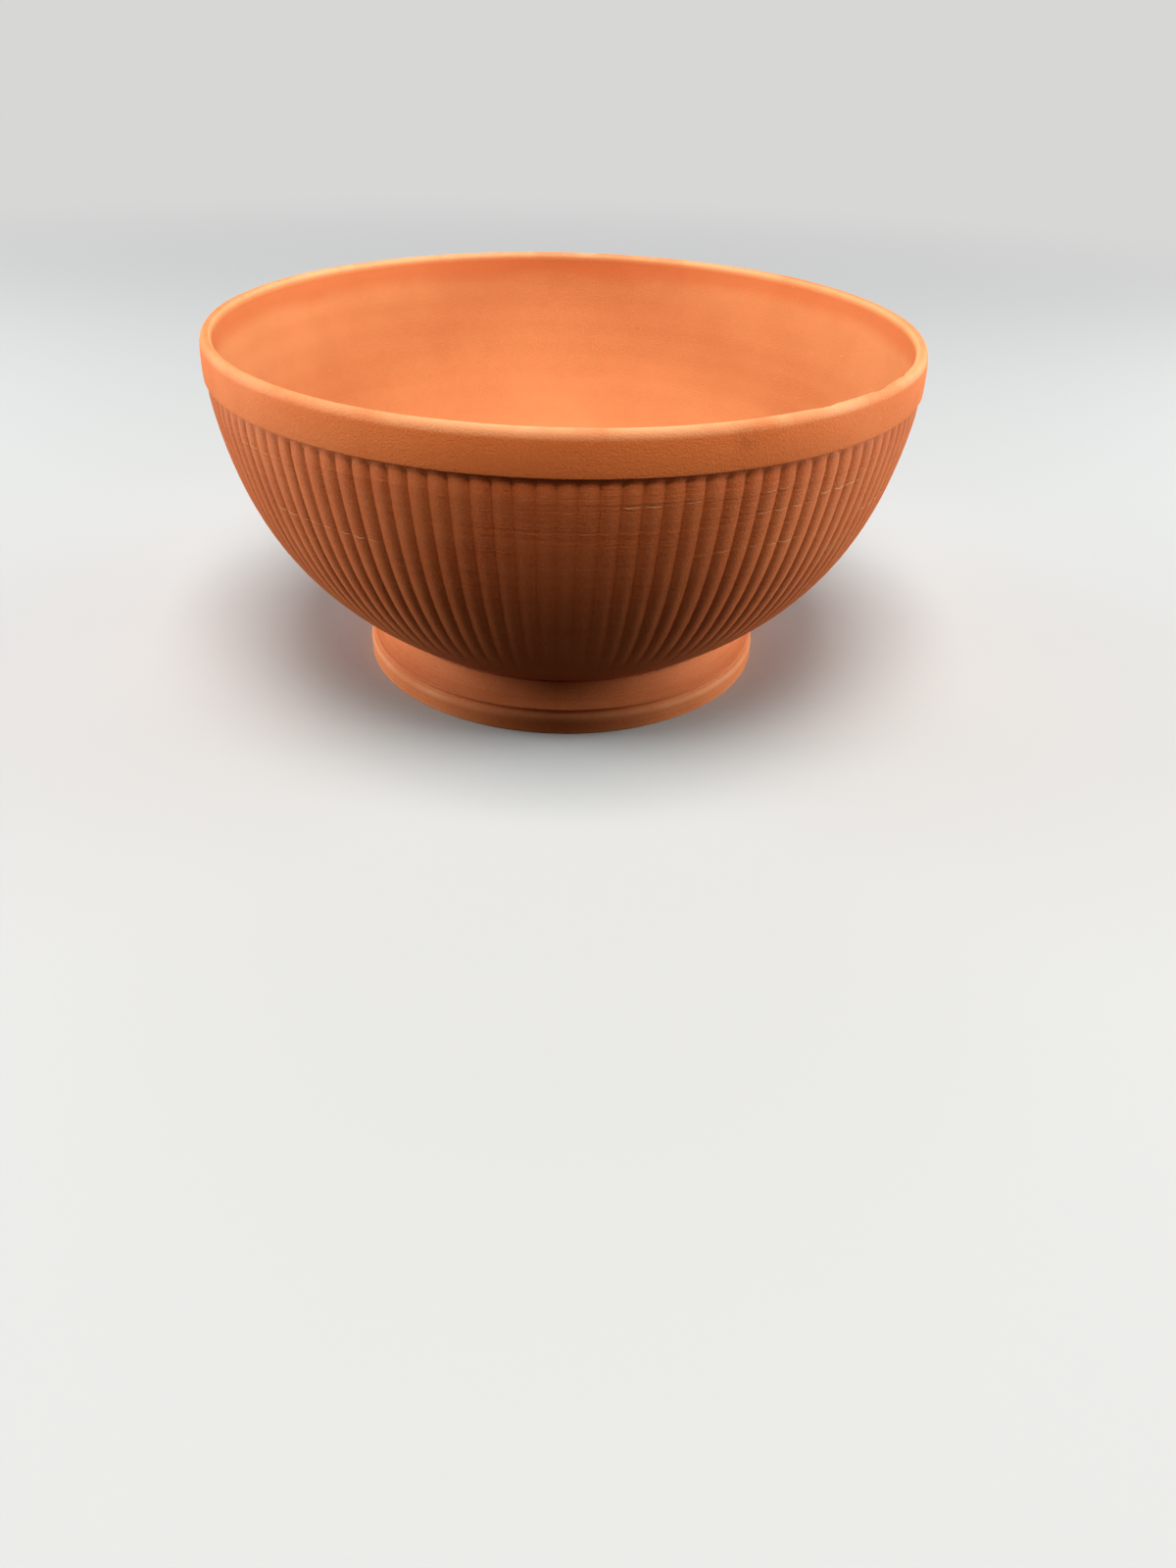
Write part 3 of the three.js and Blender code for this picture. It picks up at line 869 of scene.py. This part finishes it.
def bowlOutline(sizes):
    curve = wallCurve(sizes)
    length = curve[1][-1]
    reedEnd = length - sizes["plainWallAboveFoot"]
    rows = []

    def wallRow(down, reeded):
        point, out = wallPoint(curve, down)
        return {"radius": point.x, "height": point.y, "normal": tuple(out), "down": down,
                "reeded": reeded, "uneven": 1.0}

    # Underside, flat where the slip holds it, then the plain wall
    seat = sizes["seat"]
    rows += stretch([(0.0, seat), (sizes["poleRadius"], seat)])
    rows += stretch(linePoints((sizes["seatCentre"], seat), (sizes["seatRadius"], seat),
                               sizes["seatSteps"]))
    plainRows = round(sizes["plainWallAboveFoot"] / sizes["wallRow"])
    for i in range(1, plainRows):
        rows.append(wallRow(length - i * sizes["plainWallAboveFoot"] / plainRows, 0.0))

    # Reeds, with closer rows at their heads
    reedFirst = len(rows)
    headSpan = sizes["headSpan"]
    reedRows = round((reedEnd - headSpan) / sizes["wallRow"])
    for i in range(reedRows):
        rows.append(wallRow(reedEnd - i * (reedEnd - headSpan) / reedRows, 1.0))
    headRows = round(headSpan / sizes["headRow"])
    for i in range(headRows + 1):
        rows.append(wallRow(headSpan - i * headSpan / headRows, 1.0))
    reedLast = len(rows) - 1

    # Band, undercut with a softened lower edge, then the lip: taller in its outer half than in its inner
    bandLow = sizes["top"] - sizes["bandDepth"]
    bandRadius = sizes["rimRadius"]
    soft = sizes["bandEdgeRound"]
    bandFoot = bandRadius - sizes["bandUndercut"]
    ledge = wallPoint(curve, 0.0, sizes["reedDepth"] + sizes["headDip"])[0].x
    margin = sizes["ledgeMargin"]
    rows += stretch([(ledge + margin, bandLow), (bandFoot - soft - margin, bandLow)])
    rows += stretch(arcPoints((bandFoot - soft, bandLow + soft), soft, -90, 0, sizes["edgeSteps"]),
                    uneven=1.0, smoothed=1.0)
    half = sizes["lip"] / 2
    lipMiddle = bandRadius - sizes["bandLean"] - half
    lipSteps = sizes["lipSteps"]
    lipArc = []
    for i in range(lipSteps + 1):
        turn = math.radians(sizes["lipStart"] + (180 - sizes["lipStart"]) * i / lipSteps)
        tall = sizes["lipDrop"] if i <= lipSteps // 2 else half
        lipArc.append((lipMiddle + half * math.cos(turn), sizes["top"] - tall * (1 - math.sin(turn))))
    bandMiddle = (bandRadius, (bandLow + lipArc[0][1]) / 2)
    bandCurve = bezierPoints(((bandFoot, bandLow + soft), bandMiddle, lipArc[0]), sizes["bandSteps"])
    rows += stretch(bandCurve[1:-1], uneven=1.0, smoothed=1.0)
    lipRows = stretch(lipArc, uneven=1.0, smoothed=1.0)
    chippedFrom = sizes["chippedFrom"]
    for i, row in enumerate(lipRows):
        row["lipEdge"] = max(0.0, math.sin(math.pi * (i - chippedFrom) / (lipSteps - chippedFrom)))
        row["inside"] = 1.0 if i >= sizes["insideFrom"] else 0.0
        # The lip's edge mark, widened so that the pale wear on it also carries the painted highlight
        row["edge"] = math.sqrt(max(0.0, math.sin(math.pi * i / lipSteps)))
    rows += lipRows

    # Collar, inner wall, fillet and floor
    collarTop = lipArc[-1]
    collarFoot = (collarTop[0] - sizes["collarLean"], sizes["top"] - sizes["collarHeight"])

    def innerPoint(down):
        thick = sizes["wallAtBand"] + (sizes["wallAtFoot"] - sizes["wallAtBand"]) * down / length
        return wallPoint(curve, down, thick)[0]

    filletDown = length - sizes["floorFilletStart"]
    wallTop = sizes["collarBlend"]
    inner = bezierPoints((collarTop, collarFoot, innerPoint(wallTop)), sizes["collarSteps"])[1:-1]
    innerSteps = sizes["innerSteps"]
    for i in range(innerSteps + 1):
        inner.append(tuple(innerPoint(wallTop + (filletDown - wallTop) * i / innerSteps)))
    start = Vector(inner[-1])
    justAbove = 0.001
    slope = (start - innerPoint(filletDown - justAbove)).normalized()
    floorHeight = sizes["seat"] + sizes["floor"]
    reach = (start.y - floorHeight) / -slope.y
    corner = start + slope * reach
    end = (corner.x - reach, floorHeight)
    inner += bezierPoints((start, corner, end), sizes["filletSteps"])[1:]
    inner += linePoints(end, (sizes["floorCentre"], floorHeight), sizes["floorSteps"])[1:]
    rows += stretch(inner, inside=1.0, uneven=1.0)
    rows += stretch([(sizes["poleRadius"], floorHeight), (0.0, floorHeight)], inside=1.0, uneven=1.0)
    return rows, reedFirst, reedLast, length


def makeBowl(sizes, clay):
    rows, reedFirst, reedLast, length = bowlOutline(sizes)
    coarse = sizes["coarseColumnsPerReed"]
    fine = sizes["columnsPerReed"]
    stretches = (
        (0, reedFirst, coarse, 1),
        (reedFirst, reedLast, fine, fine // coarse),
        (reedLast, len(rows) - 1, coarse, 1),
    )
    values = {
        "Reed Count": sizes["reedCount"],
        "Groove Azimuth": math.radians(sizes["grooveAzimuth"] - 90),
        "Reed Depth": sizes["reedDepth"],
        "Reed Width": 2 * math.pi * sizes["rimRadius"] / sizes["reedCount"],
        "Head Dip": sizes["headDip"],
        "Head Length": sizes["headLength"],
        "Fade Start": length - sizes["plainWallAboveFoot"] - sizes["reedFade"],
        "Fade Length": sizes["reedFade"],
        "Spacing Unevenness": sizes["spacingUneven"],
        "Depth Unevenness": sizes["depthUneven"],
        "Surface Unevenness": sizes["surfaceUneven"],
        "Unevenness Size": sizes["unevenSize"],
        "Throwing Ring Height": sizes["ringHeight"],
        "Throwing Ring Pitch": sizes["ringPitch"],
        "Lip Edge Wear": sizes["lipChips"],
        "Seed": sizes["seed"],
    }
    return turnedPiece("reededBowl", rows, stretches, values, clay)


bowl = makeBowl(bowlSizes, bowlClay)
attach(bowl, "root")
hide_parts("bowl")
print("bowl thrown and reeded")


# The foot ring

footSizes = {
    "radius": min(footHigh.x, footHigh.y),
    "height": footHigh.z,
    "topRadius": 0.0563,
    "topWidth": 0.0085,
    "bottomWidth": 0.0080,
    "edgeRound": 0.0004,
    "bandBulge": 0.0001,
    "shoulderHeight": 0.0039,
    "shoulderTurn": 0.0056,
    "bandHeight": 0.0061,
    "shoulderInset": 0.0010,
    "grooveWidth": 0.0013,
    "grooveInset": 0.0016,
    "grooveLow": 0.45,        # share of the groove's width at which it is deepest
    "coveInset": 0.0009,
    "flareHeight": 0.0040,
    "standingWear": 0.6,
    "surfaceUneven": 0.00018,
    "unevenSize": 0.03,
    "seed": 5,
    "flatSteps": 4,
    "edgeSteps": 5,
    "bulgeSteps": 6,
    "shoulderSteps": 10,
    "grooveSteps": 8,
    "flareSteps": 22,
    "hollowSteps": 10,
    "innerEdgeSteps": 4,
    "columns": 128,
    "columnParts": 2,
}


def footOutline(sizes):
    outer = sizes["radius"]
    side = outer - sizes["bandBulge"]
    soft = sizes["edgeRound"]
    innerBottom = outer - sizes["bottomWidth"]
    innerTop = sizes["topRadius"] - sizes["topWidth"]
    height = sizes["height"]
    bulge = ((side, soft), (outer, sizes["shoulderHeight"] / 2), (outer, sizes["shoulderHeight"]))
    shoulderEnd = (outer - sizes["shoulderInset"], sizes["bandHeight"])
    shoulder = (bulge[2], (outer, sizes["shoulderTurn"]), shoulderEnd)
    grooveDeep = (outer - sizes["grooveInset"],
                  sizes["bandHeight"] + sizes["grooveLow"] * sizes["grooveWidth"])
    grooveTop = (outer - sizes["coveInset"], sizes["bandHeight"] + sizes["grooveWidth"])
    groove = (shoulderEnd, grooveDeep, grooveTop)
    flare = (grooveTop, (sizes["topRadius"], height - sizes["flareHeight"]), (sizes["topRadius"], height))

    rows = stretch(linePoints((innerBottom, 0.0), (side - soft, 0.0), sizes["flatSteps"]))
    rows += stretch(arcPoints((side - soft, soft), soft, -90, 0, sizes["edgeSteps"])[1:],
                    edge=sizes["standingWear"])
    rows += stretch(bezierPoints(bulge, sizes["bulgeSteps"])[1:], uneven=1.0)
    # The foot's shoulder edge takes pale wear and a painted highlight
    rows += swell(stretch(bezierPoints(shoulder, sizes["shoulderSteps"])[1:], uneven=1.0), "edge")
    # The groove's crease mark, for its painted shade
    rows += swell(stretch(bezierPoints(groove, sizes["grooveSteps"])[1:-1], uneven=1.0), "crease")
    rows += stretch(bezierPoints(flare, sizes["flareSteps"]), uneven=1.0)
    rows += stretch(linePoints((sizes["topRadius"], height), (innerTop, height), sizes["flatSteps"])[1:])
    rows += stretch(linePoints((innerTop, height), (innerBottom - soft, soft), sizes["hollowSteps"])[1:],
                    inside=1.0, uneven=1.0)
    rows += stretch(arcPoints((innerBottom, soft), soft, 180, 270, sizes["innerEdgeSteps"])[1:])
    return rows


def plainPiece(name, rows, sizes, clay):
    values = {
        "Reed Count": sizes["columns"],
        "Surface Unevenness": sizes["surfaceUneven"],
        "Unevenness Size": sizes["unevenSize"],
        "Seed": sizes["seed"],
    }
    return turnedPiece(name, rows, ((0, len(rows) - 1, sizes["columnParts"], 1),), values, clay)


foot = plainPiece("turnedFoot", footOutline(footSizes), footSizes, footClay)
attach(foot, "root")
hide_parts("foot_ring")
print("foot turned")


# The slip that holds the foot on, squeezed out in an uneven bead

slipSizes = {
    "outer": min(slipHigh.x, slipHigh.y),
    "bead": 0.00035,
    "inner": 0.0478,
    "low": slipLow.z,
    "high": slipHigh.z,
    "surfaceUneven": 0.0003,
    "unevenSize": 0.004,
    "seed": 8,
    "flatSteps": 4,
    "beadSteps": 8,
    "columns": 128,
    "columnParts": 3,
}


def slipOutline(sizes):
    inner, low, high = sizes["inner"], sizes["low"], sizes["high"]
    seat = sizes["outer"] - sizes["bead"]
    middle = (low + high) / 2
    outerBead = ((seat, low), (sizes["outer"] + sizes["bead"], middle), (seat, high))
    innerBead = ((inner, high), (inner - 2 * sizes["bead"], middle), (inner, low))
    rows = stretch(linePoints((inner, low), (seat, low), sizes["flatSteps"]))
    rows += stretch(bezierPoints(outerBead, sizes["beadSteps"])[1:-1], uneven=1.0)
    rows += stretch(linePoints((seat, high), (inner, high), sizes["flatSteps"]))
    rows += stretch(bezierPoints(innerBead, sizes["beadSteps"])[1:], uneven=1.0)
    return rows


slip = plainPiece("squeezedSlip", slipOutline(slipSizes), slipSizes, slipClay)
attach(slip, "root")
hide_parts("luting_slip")
print("slip laid")


# Floor, light and world

stageSizes = {
    "floorHalf": 40.0,
    "floorColour": (0.485, 0.50, 0.53, 1.0),
    "bounceColour": (0.045, 0.045, 0.045, 1.0),
    "farColour": (0.68, 0.68, 0.675, 1.0),
    "farFrom": 0.35,
    "farTo": 1.0,
    "worldColour": (1.0, 1.0, 1.0, 1.0),
    "worldStrength": 0.008,
    "floorRoughness": 0.9,
    "floorSheen": 0.1,
    "lampTarget": (0.0, 0.0, 0.05),
}

# Lamps: place, size, watts and colour
lamps = {
    "overhead": ((0.0, -0.36, 1.18), (0.6, 0.72), 20.0, (1.0, 0.95, 0.87)),
    "front": ((0.0, -0.85, 0.85), (0.5, 0.5), 0.9, (1.0, 0.80, 0.60)),
    "leftSide": ((-1.0, 0.17, 0.18), (0.6, 0.28), 13.6, (0.92, 1.0, 0.95)),
    "rightSide": ((1.0, 0.17, 0.18), (0.6, 0.28), 13.6, (0.92, 1.0, 0.94)),
    "backFill": ((0.0, 1.0, 0.8), (0.8, 0.5), 3.0, (1.0, 1.0, 1.0)),
}


def makeFloor(sizes):
    half = sizes["floorHalf"]
    mesh = bpy.data.meshes.new("paleFloor")
    corners = [(-half, -half, 0), (half, -half, 0), (half, half, 0), (-half, half, 0)]
    mesh.from_pydata(corners, [], [(0, 1, 2, 3)])
    floor = bpy.data.objects.new("paleFloor", mesh)
    bpy.context.scene.collection.objects.link(floor)
    material = bpy.data.materials.new("paleFloor")
    material.use_nodes = True
    tree = material.node_tree
    seen = addNode(tree, "ShaderNodeLightPath").outputs["Is Camera Ray"]
    shader = tree.nodes["Principled BSDF"]

    # The camera sees a pale floor, but the bowl gets its light back from a dark one, as in the photograph
    floorTone = mixColour(tree, seen, sizes["bounceColour"], sizes["floorColour"])
    feed(tree, shader.inputs["Base Color"], floorTone)
    shader.inputs["Roughness"].default_value = sizes["floorRoughness"]
    shader.inputs["Specular IOR Level"].default_value = sizes["floorSheen"]

    # Far from the bowl the floor is one even pale tone, which runs into the background
    spot = addNode(tree, "ShaderNodeTexCoord").outputs["Object"]
    away = addNode(tree, "ShaderNodeVectorMath", {0: spot}, operation="LENGTH").outputs["Value"]
    far = calc(tree, "MULTIPLY", ramp(tree, away, sizes["farFrom"], sizes["farTo"]), seen)
    plain = addNode(tree, "ShaderNodeEmission", {"Color": sizes["farColour"], "Strength": 1.0})
    both = addNode(tree, "ShaderNodeMixShader", {0: far, 1: shader.outputs[0], 2: plain.outputs[0]})
    feed(tree, tree.nodes["Material Output"].inputs["Surface"], both.outputs[0])
    mesh.materials.append(material)


def makeWorld(sizes):
    world = bpy.data.worlds.new("studio")
    bpy.context.scene.world = world
    world.use_nodes = True
    tree = world.node_tree
    background = tree.nodes["Background"]
    seen = addNode(tree, "ShaderNodeLightPath").outputs["Is Camera Ray"]
    feed(tree, background.inputs["Color"], mixColour(tree, seen, sizes["worldColour"], sizes["farColour"]))
    strength = ramp(tree, seen, 0.0, 1.0, sizes["worldStrength"], 1.0, smooth=False)
    feed(tree, background.inputs["Strength"], strength)


def areaLight(name, target, place, size, watts, colour):
    data = bpy.data.lights.new(name, "AREA")
    data.shape = "RECTANGLE"
    data.size, data.size_y = size
    data.energy = watts
    data.color = colour
    lamp = bpy.data.objects.new(name, data)
    lamp.location = place
    lamp.rotation_mode = "QUATERNION"
    lamp.rotation_quaternion = (Vector(target) - Vector(place)).to_track_quat("-Z", "Y")
    bpy.context.scene.collection.objects.link(lamp)


makeFloor(stageSizes)
makeWorld(stageSizes)
for name, settings in lamps.items():
    areaLight(name, stageSizes["lampTarget"], *settings)
bpy.context.scene.view_settings.view_transform = "Standard"
print("stage lit")
